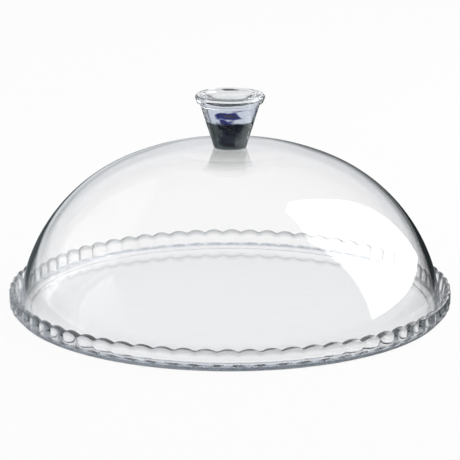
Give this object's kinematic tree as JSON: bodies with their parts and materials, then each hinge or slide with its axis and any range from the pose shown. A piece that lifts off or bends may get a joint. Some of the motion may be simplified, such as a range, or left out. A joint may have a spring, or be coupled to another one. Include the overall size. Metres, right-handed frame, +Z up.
{
  "type": "cake plate with dome",
  "caption": "Round glass cake plate with a low scalloped rim, covered by a clear glass dome that is lifted by a solid flared knob.",
  "frame": {"origin": "centre of the plate's foot, on the surface it stands on", "axes": "+Z up, along the shared axis of plate, dome and knob; the object is the same all round, with a scallop crest on each of the X and Y axes"},
  "size_m": [0.322, 0.322, 0.1573],
  "materials": {
    "plate_glass": "clear pressed soda-lime glass, fire polished",
    "dome_glass": "clear blown soda-lime glass, polished, with a fire-rounded rim",
    "knob_glass": "clear solid pressed glass, polished"
  },
  "bodies": {
    "root": {"plate": "plate_glass", "dome": "dome_glass", "knob": "knob_glass"}
  },
  "joints": []
}
